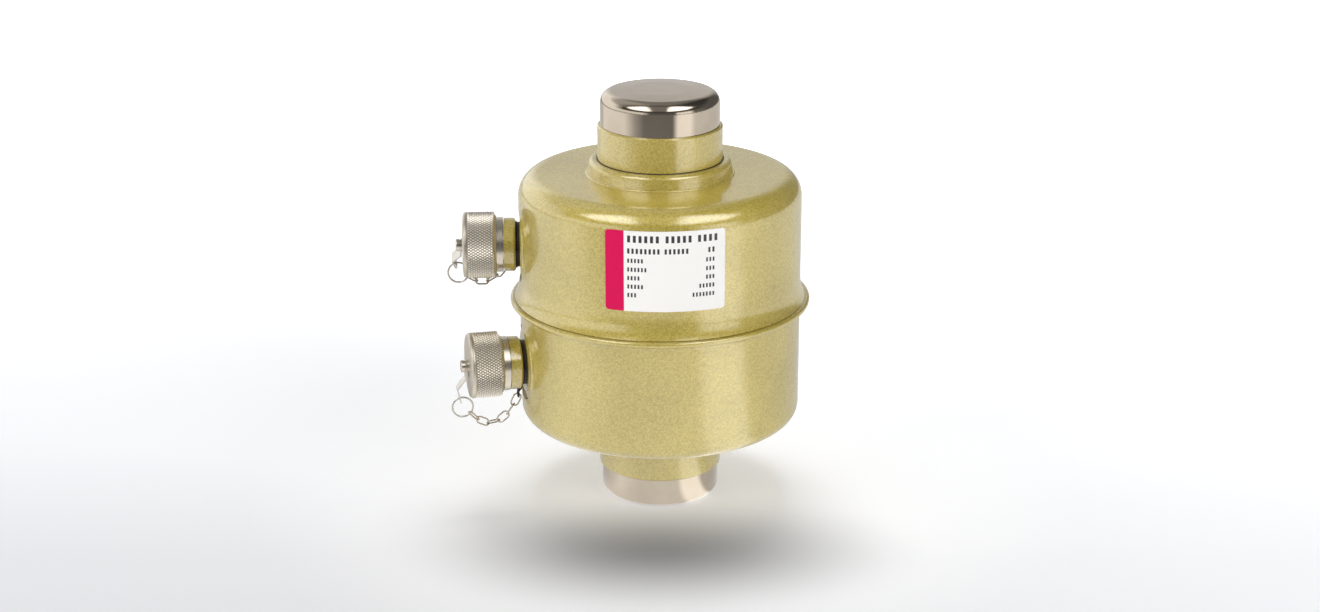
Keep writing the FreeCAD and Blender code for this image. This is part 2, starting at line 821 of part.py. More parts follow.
class Chain:
    """One connector's chain, which hangs in an upright plane from the tether washer to the ring."""

    def __init__(self, tail_turn, tab_turn, link_angle):
        """Take the turns of the tail and the tab, and where the last link hangs in the ring."""
        hole = turned_down(tether_hole_station, tether_hole_reach, tail_turn)
        self.start = hole - Vector(0, 0, link_seat_drop)
        self.ring = ring_centre(tab_turn)
        gap = (ring_wire / 2 + link_wire / 2 + link_play) / 2
        angle = math.radians(link_angle)
        reach = Vector(math.cos(angle), 0, math.sin(angle)) * (ring_radius - gap)
        self.end = self.ring + reach

    def hung(self, travel):
        """The plane's bearing and the links' angles in it, when the cap has come out by a travel."""
        run = self.end + Vector(travel, 0, 0) - self.start
        angles = hang(math.hypot(run.x, run.y), run.z)
        return math.degrees(math.atan2(run.y, run.x)), [math.degrees(angle) for angle in angles]

    def turns(self, travel):
        """Each link's turn from lying along the connector's axis."""
        bearing, angles = self.hung(travel)
        plane = FreeCAD.Rotation(Vector(0, 0, 1), bearing)
        return [plane.multiply(FreeCAD.Rotation(Vector(0, -1, 0), angle)) for angle in angles]

    def joints(self):
        """The places at rest where the links hang in each other, from the washer to the ring."""
        places = [self.start]
        for turn in self.turns(0.0):
            places.append(places[-1] + turn.multVec(Vector(link_pitch, 0, 0)))
        return places


def chain_link(chain, index):
    """One oval link of wire, from a joint of the chain to the next."""
    bend = (link_width - link_wire) / 2
    straight = link_pitch + link_wire + link_play - 2 * bend
    wire = link_wire / 2
    pieces = []
    for side in (-1, 1):
        leg = Part.makeCylinder(wire, straight, Vector(-straight / 2, side * bend, 0), Vector(1, 0, 0))
        pieces.append(leg)
        profile = Part.Face(Part.Wire(Part.makeCircle(
            wire, Vector(side * straight / 2, -bend, 0), Vector(1, 0, 0))))
        end = profile.revolve(Vector(side * straight / 2, 0, 0), Vector(0, 0, 1), side * 180)
        pieces.append(tidy(end))
    link = tidy(pieces[0].fuse(pieces[1:]).removeSplitter())
    link.rotate(Vector(0, 0, 0), Vector(1, 0, 0), link_turns[index])
    start, finish = chain.joints()[index : index + 2]
    turn = chain.turns(0.0)[index]
    link.rotate(Vector(0, 0, 0), turn.Axis, math.degrees(turn.Angle))
    link.translate((start + finish) / 2)
    return link


def split_ring(centre):
    """The round ring that joins the chain to the tab, with its butt gap at the outer side."""
    profile = Part.Face(Part.Wire(Part.makeCircle(
        ring_wire / 2, Vector(ring_radius, 0, 0), Vector(0, 0, 1))))
    gap = math.degrees(ring_gap / ring_radius)
    ring = tidy(profile.revolve(Vector(0, 0, 0), Vector(0, 1, 0), 360 - gap))
    ring.translate(centre)
    return ring


def connector_pieces(tail_turn, tab_turn, link_angle):
    """Every piece of one connector in its local frame, by name."""
    chain = Chain(tail_turn, tab_turn, link_angle)
    pieces = {
        "boss": connector_boss(),
        "seal": connector_seal(),
        "tether_washer": tether_washer(tail_turn),
        "collar": connector_collar(),
        "receptacle": receptacle(),
        "inner_nut": connector_nut(),
        "contact_insert": contact_insert(),
        "contact_pins": contact_pins(),
        "dust_cap": dust_cap(),
        "cap_gasket": cap_gasket(),
        "cap_screw": cap_screw(),
        "swivel_tab": swivel_tab(tab_turn),
        "split_ring": split_ring(chain.ring),
    }
    for index in range(link_count):
        pieces[f"chain_link_{index + 1}"] = chain_link(chain, index)
    return pieces


def main():
    """Build and write every sub-part."""
    os.makedirs("parts", exist_ok=True)
    save("spring_column", spring_column())
    save("upper_sleeve", sleeve(upper_sleeve_bottom, upper_sleeve_top, True))
    save("lower_sleeve", sleeve(lower_sleeve_bottom, lower_sleeve_top, False))
    save("upper_shell", upper_shell())
    save("lower_shell", lower_shell())
    save("upper_neck_ring", neck_ring(housing_top, 1))
    save("lower_neck_ring", neck_ring(housing_bottom, -1))
    save("upper_membrane", membrane(housing_top, -1))
    save("lower_membrane", membrane(housing_bottom, 1))
    save("strain_gauges", strain_gauges())
    save("circuit_board", circuit_board())
    save("board_chips", board_chips())
    save("board_brackets", board_brackets())
    save("board_screws", board_screws())
    save("rating_label", rating_label())
    upper = connector_pieces(upper_tail_turn, upper_tab_turn, upper_ring_link_angle)
    for name, shape in upper.items():
        save(f"upper_{name}", in_place(shape, upper_connector_height, upper_connector_azimuth))
    lower = connector_pieces(lower_tail_turn, lower_tab_turn, lower_ring_link_angle)
    for name, shape in lower.items():
        save(f"lower_{name}", in_place(shape, lower_connector_height, lower_connector_azimuth))


main()
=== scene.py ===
"""Looks of a column load cell with two capped screw connectors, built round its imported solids.

The solids carry the finishes of the real pieces: a pearl gold enamel on the housing, polished
nickel on the column's heads, satin nickel on the knurled caps. Pieces that are too fine for the
solids are modelled here: the knurl of the caps, the beads at the neck rings and the ink on the
rating label.
"""

import json
import logging
import math
from collections.abc import Callable
from dataclasses import dataclass, field
from enum import IntEnum

import bpy
from mathutils import Matrix, Vector


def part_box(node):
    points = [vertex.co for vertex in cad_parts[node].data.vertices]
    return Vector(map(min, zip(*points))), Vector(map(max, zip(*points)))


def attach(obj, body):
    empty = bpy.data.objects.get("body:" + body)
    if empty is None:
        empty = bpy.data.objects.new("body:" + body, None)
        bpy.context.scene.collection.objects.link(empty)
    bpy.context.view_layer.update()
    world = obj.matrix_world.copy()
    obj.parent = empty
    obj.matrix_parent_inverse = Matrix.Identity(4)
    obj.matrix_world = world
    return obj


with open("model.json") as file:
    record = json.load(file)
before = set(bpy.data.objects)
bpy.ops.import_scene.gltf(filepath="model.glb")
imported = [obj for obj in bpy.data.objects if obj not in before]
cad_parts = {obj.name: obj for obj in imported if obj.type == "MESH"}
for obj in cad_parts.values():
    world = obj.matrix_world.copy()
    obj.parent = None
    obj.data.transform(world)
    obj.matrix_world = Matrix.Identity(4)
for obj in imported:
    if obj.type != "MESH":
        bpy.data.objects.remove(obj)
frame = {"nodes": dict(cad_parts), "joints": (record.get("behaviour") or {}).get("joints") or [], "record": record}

Colour = tuple[float, float, float, float]
Tree = bpy.types.NodeTree
Node = bpy.types.Node
Link = bpy.types.NodeSocket
Span = tuple[float, float]
Zones = tuple[tuple[float, float], ...]

LOG = logging.getLogger("load_cell")
MM = 0.001
NEAR = 0.002 * MM  # two places on a mesh that are closer than this count as one
STRONGEST = 2.0  # a colour ramp holds nothing over one, so it holds strengths as shares of this

SHARE: Span = (0.0, 1.0)
SIDEWAYS: Span = (-1.0, 1.0)
TURN: Span = (-180.0, 180.0)
QUARTER: Span = (0.0, 90.0)
NOISE_CORE: Span = (0.3, 0.7)  # where most of a noise's values lie
NOISE_WIDE: Span = (0.2, 0.8)  # where almost all of them lie


def linear(code: str) -> Colour:
    """Turn an sRGB hex colour into linear light.

    Args:
        code: six hex digits, with or without a leading hash.

    Returns:
        Red, green, blue and an alpha of one, in linear light.
    """
    digits = code.lstrip("#")
    shares = [int(digits[i:i + 2], 16) / 255 for i in (0, 2, 4)]
    light = [s / 12.92 if s <= 0.04045 else ((s + 0.055) / 1.055) ** 2.4 for s in shares]
    return (*light, 1.0)


WHITE = linear("#FFFFFF")


def texture_scale(grain_mm: float) -> float:
    """The scale that gives a texture grains of a real size.

    Args:
        grain_mm: a grain's size in millimetres.

    Returns:
        How many such grains lie along one metre.
    """
    return 1 / (grain_mm * MM)


class MixSocket(IntEnum):
    """The numbered sockets of a mix node that mixes colours."""

    SHARE = 0
    FIRST = 6
    SECOND = 7
    RESULT = 2


def add_node(tree: Tree, kind: str, inputs: dict | tuple = (), **settings: object) -> Node:
    """Add a node with its settings, its constants and its links.

    Args:
        tree: the node tree that gets the node.
        kind: the node's type name.
        inputs: constants, or outputs to link, either in the order of the node's inputs or each
            under its input's name or number.
        settings: the node's own properties.

    Returns:
        The new node.
    """
    node = tree.nodes.new(kind)
    for name, value in settings.items():
        setattr(node, name, value)
    for key, value in inputs.items() if isinstance(inputs, dict) else enumerate(inputs):
        if isinstance(value, Link):
            tree.links.new(value, node.inputs[key])
        else:
            node.inputs[key].default_value = value
    return node


def zoned(tree: Tree, value: Link, stops: Zones, span: Span) -> Link:
    """Read a strength from a row of stops.

    Args:
        tree: the tree that gets the nodes.
        value: what the stops are placed along.
        stops: places along the value, each with its strength, which is STRONGEST at most.
        span: the values at the row's two ends.

    Returns:
        The strength's output.
    """
    low, high = span
    along = add_node(tree, "ShaderNodeMapRange", (value, low, high, *SHARE)).outputs[0]
    ramp = add_node(tree, "ShaderNodeValToRGB", (along,))
    marks = ramp.color_ramp.elements
    for index, (place, strength) in enumerate(stops):
        share = (place - low) / (high - low)
        mark = marks[index] if index < len(marks) else marks.new(share)
        mark.position = share
        held = strength / STRONGEST
        mark.color = (held, held, held, 1.0)
    return add_node(tree, "ShaderNodeMath", (ramp.outputs["Color"], STRONGEST),
                    operation="MULTIPLY").outputs[0]


def bearing(tree: Tree, place: Link) -> Link:
    """The bearing of a place or direction.

    Args:
        tree: the tree that gets the nodes.
        place: the place or direction, seen from the object's axis.

    Returns:
        Degrees from the camera's side towards the right, from -180 to 180.
    """
    parts = add_node(tree, "ShaderNodeSeparateXYZ", (place,))
    front = add_node(tree, "ShaderNodeMath", (parts.outputs["Y"], -1.0),
                     operation="MULTIPLY").outputs[0]
    turn = add_node(tree, "ShaderNodeMath", (parts.outputs["X"], front),
                    operation="ARCTAN2").outputs[0]
    return add_node(tree, "ShaderNodeMath", (turn,), operation="DEGREES").outputs[0]


def empty_material(name: str) -> bpy.types.Material:
    """Make a material with no nodes in its tree.

    Args:
        name: the material's name.

    Returns:
        The material.
    """
    made = bpy.data.materials.new(name)
    made.use_nodes = True
    made.node_tree.nodes.clear()
    return made


@dataclass(frozen=True)
class Finish:
    """A finish as a paint shop or plater gives it, and the material that shows it.

    In every finish a field in millimetres is a real size or depth, roughness is the middle of
    the finish's range, and swing is that range's two ends as shares of the middle.

    Attributes:
        name: the finish in a maker's words.
        low: the colour where the finish's pattern is 0, such as its darkest tone.
        high: the colour where the pattern is 1, such as its lightest tone.
    """

    name: str
    low: str
    high: str

    def material(self) -> bpy.types.Material:
        """Build the finish's material.

        Returns:
            A material whose shader reads this finish's pattern.
        """
        made = empty_material(self.name)
        tree = made.node_tree
        place = add_node(tree, "ShaderNodeTexCoord").outputs["Object"]
        shader = self.shade(tree, place)
        add_node(tree, "ShaderNodeOutputMaterial", {"Surface": shader.outputs["BSDF"]})
        return made

    def shade(self, tree: Tree, place: Link) -> Node:
        """Add the finish's shader to a tree.

        Args:
            tree: the material's tree.
            place: the point's own place on the piece, in metres.

        Returns:
            The shader node.
        """
        raise NotImplementedError

    def colour(self, tree: Tree, pattern: Link) -> Link:
        """Read the finish's colour from its pattern.

        Args:
            tree: the material's tree.
            pattern: the pattern's output, from 0 to 1.

        Returns:
            The colour's output.
        """
        return add_node(tree, "ShaderNodeMix", {
            MixSocket.SHARE: pattern,
            MixSocket.FIRST: linear(self.low),
            MixSocket.SECOND: linear(self.high),
        }, data_type="RGBA").outputs[MixSocket.RESULT]


@dataclass(frozen=True)
class PearlEnamel(Finish):
    """Sprayed two-coat enamel with pearl flake, which speckles and goes pale towards its edges.

    The lacquer is tinted yellow, so that light from inside it is olive, and the pearl under the
    surface returns the lamps almost white, with a broad soft glare. The flakes are drawn about
    twice their size, because a real flake is finer than a pixel.

    Attributes:
        tones: the shares of the high colour that the flakes' own tones run between.
        drift: how far the clouds shift that share down and up.
        metallic: the share of light that the pearl returns as a metal does.
        coat_ior: the clear coat's refraction, raised by the pearl in it.
    """

    flake_mm: float = 0.38
    flake_depth_mm: float = 0.018
    peel_mm: float = 2.6
    peel_depth_mm: float = 0.006
    cloud_mm: float = 22.0
    tones: Span = (0.15, 0.85)
    drift: Span = (-0.12, 0.12)
    metallic: float = 0.3
    roughness: float = 0.42
    coat_roughness: float = 0.14
    coat_ior: float = 2.2

    def shade(self, tree: Tree, place: Link) -> Node:
        """Each flake has its own tone and tilt, under a coat with a little orange peel."""
        flakes = add_node(tree, "ShaderNodeTexVoronoi", {
            "Vector": place, "Scale": texture_scale(self.flake_mm), "Randomness": 1.0})
        lot = add_node(tree, "ShaderNodeSeparateColor", (flakes.outputs["Color"],))
        tone = add_node(tree, "ShaderNodeMapRange",
                        (lot.outputs["Red"], *SHARE, *self.tones)).outputs[0]
        cloud = add_node(tree, "ShaderNodeTexNoise", {
            "Vector": place, "Scale": texture_scale(self.cloud_mm), "Detail": 1.0}).outputs["Fac"]
        drift = add_node(tree, "ShaderNodeMapRange", (cloud, *NOISE_CORE, *self.drift)).outputs[0]
        share = add_node(tree, "ShaderNodeMath", (tone, drift), operation="ADD").outputs[0]
        glitter = add_node(tree, "ShaderNodeBump", {
            "Height": lot.outputs["Green"], "Distance": self.flake_depth_mm * MM})
        skin = add_node(tree, "ShaderNodeTexNoise", {
            "Vector": place, "Scale": texture_scale(self.peel_mm), "Detail": 1.0}).outputs["Fac"]
        peel = add_node(tree, "ShaderNodeBump", {
            "Height": skin, "Distance": self.peel_depth_mm * MM})
        return add_node(tree, "ShaderNodeBsdfPrincipled", {
            "Base Color": self.colour(tree, share),
            "Metallic": self.metallic,
            "Roughness": self.roughness,
            "Normal": glitter.outputs["Normal"],
            "Coat Weight": 1.0,
            "Coat Roughness": self.coat_roughness,
            "Coat IOR": self.coat_ior,
            "Coat Normal": peel.outputs["Normal"],
        })


@dataclass(frozen=True)
class TurnedPlate(Finish):
    """Nickel plate over a turned surface: faint rings round the axis, and soft reflections."""

    roughness: float = 0.1
    ring_mm: float = 0.35
    ring_depth_mm: float = 0.0012
    smear_mm: float = 9.0
    swing: Span = (0.8, 1.2)

    def shade(self, tree: Tree, place: Link) -> Node:
        """Rings are read along the height and the radius, and so follow the tool's path."""
        parts = add_node(tree, "ShaderNodeSeparateXYZ", (place,))
        flat = add_node(tree, "ShaderNodeCombineXYZ", (parts.outputs["X"], parts.outputs["Y"]))
        reach = add_node(tree, "ShaderNodeVectorMath", (flat.outputs[0],),
                         operation="LENGTH").outputs["Value"]
        along = add_node(tree, "ShaderNodeMath", (reach, parts.outputs["Z"]),
                         operation="ADD").outputs[0]
        rings = add_node(tree, "ShaderNodeTexNoise", {
            "W": along, "Scale": texture_scale(self.ring_mm)}, noise_dimensions="1D")
        relief = add_node(tree, "ShaderNodeBump", {
            "Height": rings.outputs["Fac"], "Distance": self.ring_depth_mm * MM})
        smear = add_node(tree, "ShaderNodeTexNoise", {
            "Vector": place, "Scale": texture_scale(self.smear_mm)}).outputs["Fac"]
        ends = [share * self.roughness for share in self.swing]
        return add_node(tree, "ShaderNodeBsdfPrincipled", {
            "Base Color": self.colour(tree, smear),
            "Metallic": 1.0,
            "Roughness": add_node(tree, "ShaderNodeMapRange",
                                  (smear, *NOISE_CORE, *ends)).outputs[0],
            "Normal": relief.outputs["Normal"],
        })


@dataclass(frozen=True)
class SatinMetal(Finish):
    """Plain metal with a fine blasted or drawn surface, duller in its lows."""

    roughness: float = 0.42
    grain_mm: float = 0.25
    grain_depth_mm: float = 0.004
    stain_mm: float = 3.0
    swing: Span = (0.75, 1.25)

    def shade(self, tree: Tree, place: Link) -> Node:
        """A grain for the surface, and a wider stain for the colour."""
        grain = add_node(tree, "ShaderNodeTexNoise", {
            "Vector": place, "Scale": texture_scale(self.grain_mm)}).outputs["Fac"]
        stain = add_node(tree, "ShaderNodeTexNoise", {
            "Vector": place, "Scale": texture_scale(self.stain_mm)}).outputs["Fac"]
        relief = add_node(tree, "ShaderNodeBump", {
            "Height": grain, "Distance": self.grain_depth_mm * MM})
        ends = [share * self.roughness for share in self.swing]
        return add_node(tree, "ShaderNodeBsdfPrincipled", {
            "Base Color": self.colour(tree, stain),
            "Metallic": 1.0,
            "Roughness": add_node(tree, "ShaderNodeMapRange",
                                  (grain, *NOISE_WIDE, *ends)).outputs[0],
            "Normal": relief.outputs["Normal"],
        })


@dataclass(frozen=True)
class KnurledPlate(Finish):
    """Satin plate over a knurl: bright on its points, with painted shade that darkens it down into its grooves.

    Attributes:
        start: a point on the cap's axis, in metres.
        axis: the axis's direction, one long.
        root: the radius of the grooves in metres.
        depth: the knurl's depth in metres.
        shade_to_plate: where the painted groove shade gives way to the plate, as shares of the depth.
    """

    start: tuple[float, float, float]
    axis: tuple[float, float, float]
    root: float
    depth: float
    roughness: float = 0.4
    grain_mm: float = 0.2
    grain_depth_mm: float = 0.004
    shade_to_plate: Span = (-0.1, 0.55)

    def shade(self, tree: Tree, place: Link) -> Node:
        """The distance from the cap's axis tells a groove from a point."""
        offset = add_node(tree, "ShaderNodeVectorMath", (place, self.start),
                          operation="SUBTRACT").outputs[0]
        across = add_node(tree, "ShaderNodeVectorMath", (offset, self.axis),
                          operation="CROSS_PRODUCT").outputs[0]
        reach = add_node(tree, "ShaderNodeVectorMath", (across,),
                         operation="LENGTH").outputs["Value"]
        ends = [self.root + share * self.depth for share in self.shade_to_plate]
        # painted shade: the colour darkens from the points down to the roots of the grooves
        shade_to_plate = add_node(tree, "ShaderNodeMapRange", (reach, *ends, *SHARE)).outputs[0]
        grain = add_node(tree, "ShaderNodeTexNoise", {
            "Vector": place, "Scale": texture_scale(self.grain_mm)}).outputs["Fac"]
        relief = add_node(tree, "ShaderNodeBump", {
            "Height": grain, "Distance": self.grain_depth_mm * MM})
        return add_node(tree, "ShaderNodeBsdfPrincipled", {
            "Base Color": self.colour(tree, shade_to_plate),
            "Metallic": 1.0,
            "Roughness": self.roughness,
            "Normal": relief.outputs["Normal"],
        })


@dataclass(frozen=True)
class Moulded(Finish):
    """Rubber, plastic, laminate or resin: a fine matt grain over one colour that varies little."""

    roughness: float = 0.6
    grain_mm: float = 0.3
    grain_depth_mm: float = 0.01
    swing: Span = (0.85, 1.1)

    def shade(self, tree: Tree, place: Link) -> Node:
        """The grain gives both the relief and the change of colour."""
        grain = add_node(tree, "ShaderNodeTexNoise", {
            "Vector": place, "Scale": texture_scale(self.grain_mm), "Detail": 3.0}).outputs["Fac"]
        relief = add_node(tree, "ShaderNodeBump", {
            "Height": grain, "Distance": self.grain_depth_mm * MM})
        ends = [share * self.roughness for share in self.swing]
        return add_node(tree, "ShaderNodeBsdfPrincipled", {
            "Base Color": self.colour(tree, grain),
            "Roughness": add_node(tree, "ShaderNodeMapRange",
                                  (grain, *NOISE_WIDE, *ends)).outputs[0],
            "Normal": relief.outputs["Normal"],
        })


@dataclass(frozen=True)
class PrintedFilm(Finish):
    """Glossy label film: off-white, with a field of crimson ink along its left edge.

    Its pattern is 0 on the bare film and 1 in the printed field.

    Attributes:
        ink_edge_mm: where the printed field ends, across the front.
        gloss: the film's roughness at the two ends of its fibre.
        specular: how strongly the film mirrors, under a varnish that takes most of it.
    """

    ink_edge_mm: float = -12.1
    fibre_mm: float = 0.8
    fibre_depth_mm: float = 0.003
    gloss: Span = (0.38, 0.46)
    specular: float = 0.15

    def shade(self, tree: Tree, place: Link) -> Node:
        """The ink ends at a straight edge, read across the front."""
        across = add_node(tree, "ShaderNodeSeparateXYZ", (place,)).outputs["X"]
        left = add_node(tree, "ShaderNodeMath", (across, self.ink_edge_mm * MM),
                        operation="LESS_THAN").outputs[0]
        fibre = add_node(tree, "ShaderNodeTexNoise", {
            "Vector": place, "Scale": texture_scale(self.fibre_mm), "Detail": 3.0}).outputs["Fac"]
        relief = add_node(tree, "ShaderNodeBump", {
            "Height": fibre, "Distance": self.fibre_depth_mm * MM})
        return add_node(tree, "ShaderNodeBsdfPrincipled", {
            "Base Color": self.colour(tree, left),
            "Roughness": add_node(tree, "ShaderNodeMapRange",
                                  (fibre, *NOISE_CORE, *self.gloss)).outputs[0],
            "Specular IOR Level": self.specular,
            "Normal": relief.outputs["Normal"],
        })


FINISHES: dict[str, Finish] = {
    "polished_steel": TurnedPlate("polished_nickel_plate", "#B9AC99", "#CFC3B2"),
    "gold_paint": PearlEnamel("pearl_gold_enamel", "#A5902C", "#DAC662"),
    "spring_steel": SatinMetal("rolled_spring_steel", "#9A9A98", "#B8B8B6"),
    "gauge_film": Moulded("gauge_polyimide_film", "#B27429", "#C98A3A", roughness=0.35),
    "board_laminate": Moulded("board_solder_mask", "#175A31", "#1E6B3C", roughness=0.35),
    "chip_epoxy": Moulded("chip_epoxy", "#1B1C1E", "#26272A", roughness=0.5),
    "zinc_plate": SatinMetal("zinc_plated_steel", "#A8ADB3", "#C3C8CC"),
    "label_film": PrintedFilm("printed_label_film", "#F6F4F0", "#D90E55"),
    "label_ink": Moulded("label_ink", "#2E2D30", "#3A393C", roughness=0.5),
    "black_rubber": Moulded("moulded_black_rubber", "#221E1A", "#35302A", roughness=0.5),
    "black_oxide": SatinMetal("black_oxide_steel", "#2A2520", "#3E3730", roughness=0.38),
    "bright_nickel": TurnedPlate("bright_nickel_plate", "#D2C8B8", "#E6DDCE", roughness=0.26,
                                 ring_mm=0.25),
    "satin_nickel": SatinMetal("satin_nickel_plate", "#C6BCAB", "#E0D8C9"),
    "insert_plastic": Moulded("moulded_insert_resin", "#1A1918", "#2A2826"),
    "contact_gold": SatinMetal("gold_plated_contact", "#CDA94E", "#E2C26A", roughness=0.2),
    "tab_steel": SatinMetal("stamped_bright_steel", "#C6C0B6", "#E2DED6", roughness=0.2),
    "ring_steel": SatinMetal("drawn_ring_wire", "#B9B3A9", "#DCD7CE", roughness=0.16),
    "chain_steel": SatinMetal("drawn_chain_wire", "#B0A799", "#DAD3C7", roughness=0.16),
}


def plain_selection(thing: bpy.types.Object | None = None) -> None:
    """Leave only one object selected and active, or none.

    Args:
        thing: the object to select.
    """
    bpy.ops.object.select_all(action="DESELECT")
    if thing is not None:
        thing.select_set(True)
        bpy.context.view_layer.objects.active = thing


def set_place(thing: bpy.types.Object, place: Matrix) -> None:
    """Put a piece in place and leave its object at the origin.

    Args:
        thing: the piece.
        place: where it goes.
    """
    thing.matrix_world = place
    plain_selection(thing)
    bpy.ops.object.transform_apply(location=True, rotation=True, scale=True)


def paint(thing: bpy.types.Object, material: bpy.types.Material) -> None:
    """Give a piece one material in place of any it has.

    Args:
        thing: the piece.
        material: the material it gets.
    """
    thing.data.materials.clear()
    thing.data.materials.append(material)


class Picker:
    """Selects edges of one mesh by their place, and runs edit tools on them."""

    def __init__(self, thing: bpy.types.Object) -> None:
        """Hold the object whose mesh is worked on.

        Args:
            thing: the object.
        """
        self.thing = thing

    def edges(self, wanted: Callable[[Vector, Vector], bool]) -> None:
        """Select only the edges whose two end points pass a test.

        Args:
            wanted: a test of the two end points.
        """
        mesh = self.thing.data
        for group in (mesh.vertices, mesh.edges, mesh.polygons):
            group.foreach_set("select", [False] * len(group))
        for edge in mesh.edges:
            first, second = (mesh.vertices[i].co for i in edge.vertices)
            edge.select = bool(wanted(first, second))

    def run(self, *tools: Callable[[], object], mode: str = "EDGE") -> None:
        """Run edit tools on the selection.

        Args:
            tools: functions without arguments, run in order in edit mode.
            mode: what the selection is read as: VERT, EDGE or FACE.
        """
        plain_selection(self.thing)
        kinds = ("VERT", "EDGE", "FACE")
        bpy.context.tool_settings.mesh_select_mode = [kind == mode for kind in kinds]
        bpy.ops.object.mode_set(mode="EDIT")
        for tool in tools:
            tool()
        bpy.ops.object.mode_set(mode="OBJECT")


@dataclass(frozen=True)
class SoftBox:
    """A soft box that looks at the object.

    Attributes:
        name: the lamp's name.
        azimuth: degrees from the camera's side towards the right.
        elevation: degrees above the floor.
        width: the box's width in metres.
        height: the box's height in metres.
        power: the lamp's power in watts.
    """

    name: str
    azimuth: float
    elevation: float
    width: float
    height: float
    power: float

    def hang(self, aim: Vector, reach: float) -> None:
        """Hang the lamp, which lights surfaces but isn't mirrored by them.

        Args:
            aim: the point the lamp looks at.
            reach: the lamp's distance from it, in metres.
        """
        data = bpy.data.lights.new(self.name, "AREA")
        data.shape = "RECTANGLE"
        data.size, data.size_y = self.width, self.height
        data.energy = self.power
        data.color = WHITE[:3]
        thing = bpy.data.objects.new(self.name, data)
        bpy.context.scene.collection.objects.link(thing)
        turn, lift = math.radians(self.azimuth), math.radians(self.elevation)
        away = Vector((math.sin(turn) * math.cos(lift), -math.cos(turn) * math.cos(lift),
                       math.sin(lift)))
        thing.location = aim + away * reach
        thing.rotation_euler = away.to_track_quat("Z", "Y").to_euler()
        thing.visible_glossy = False


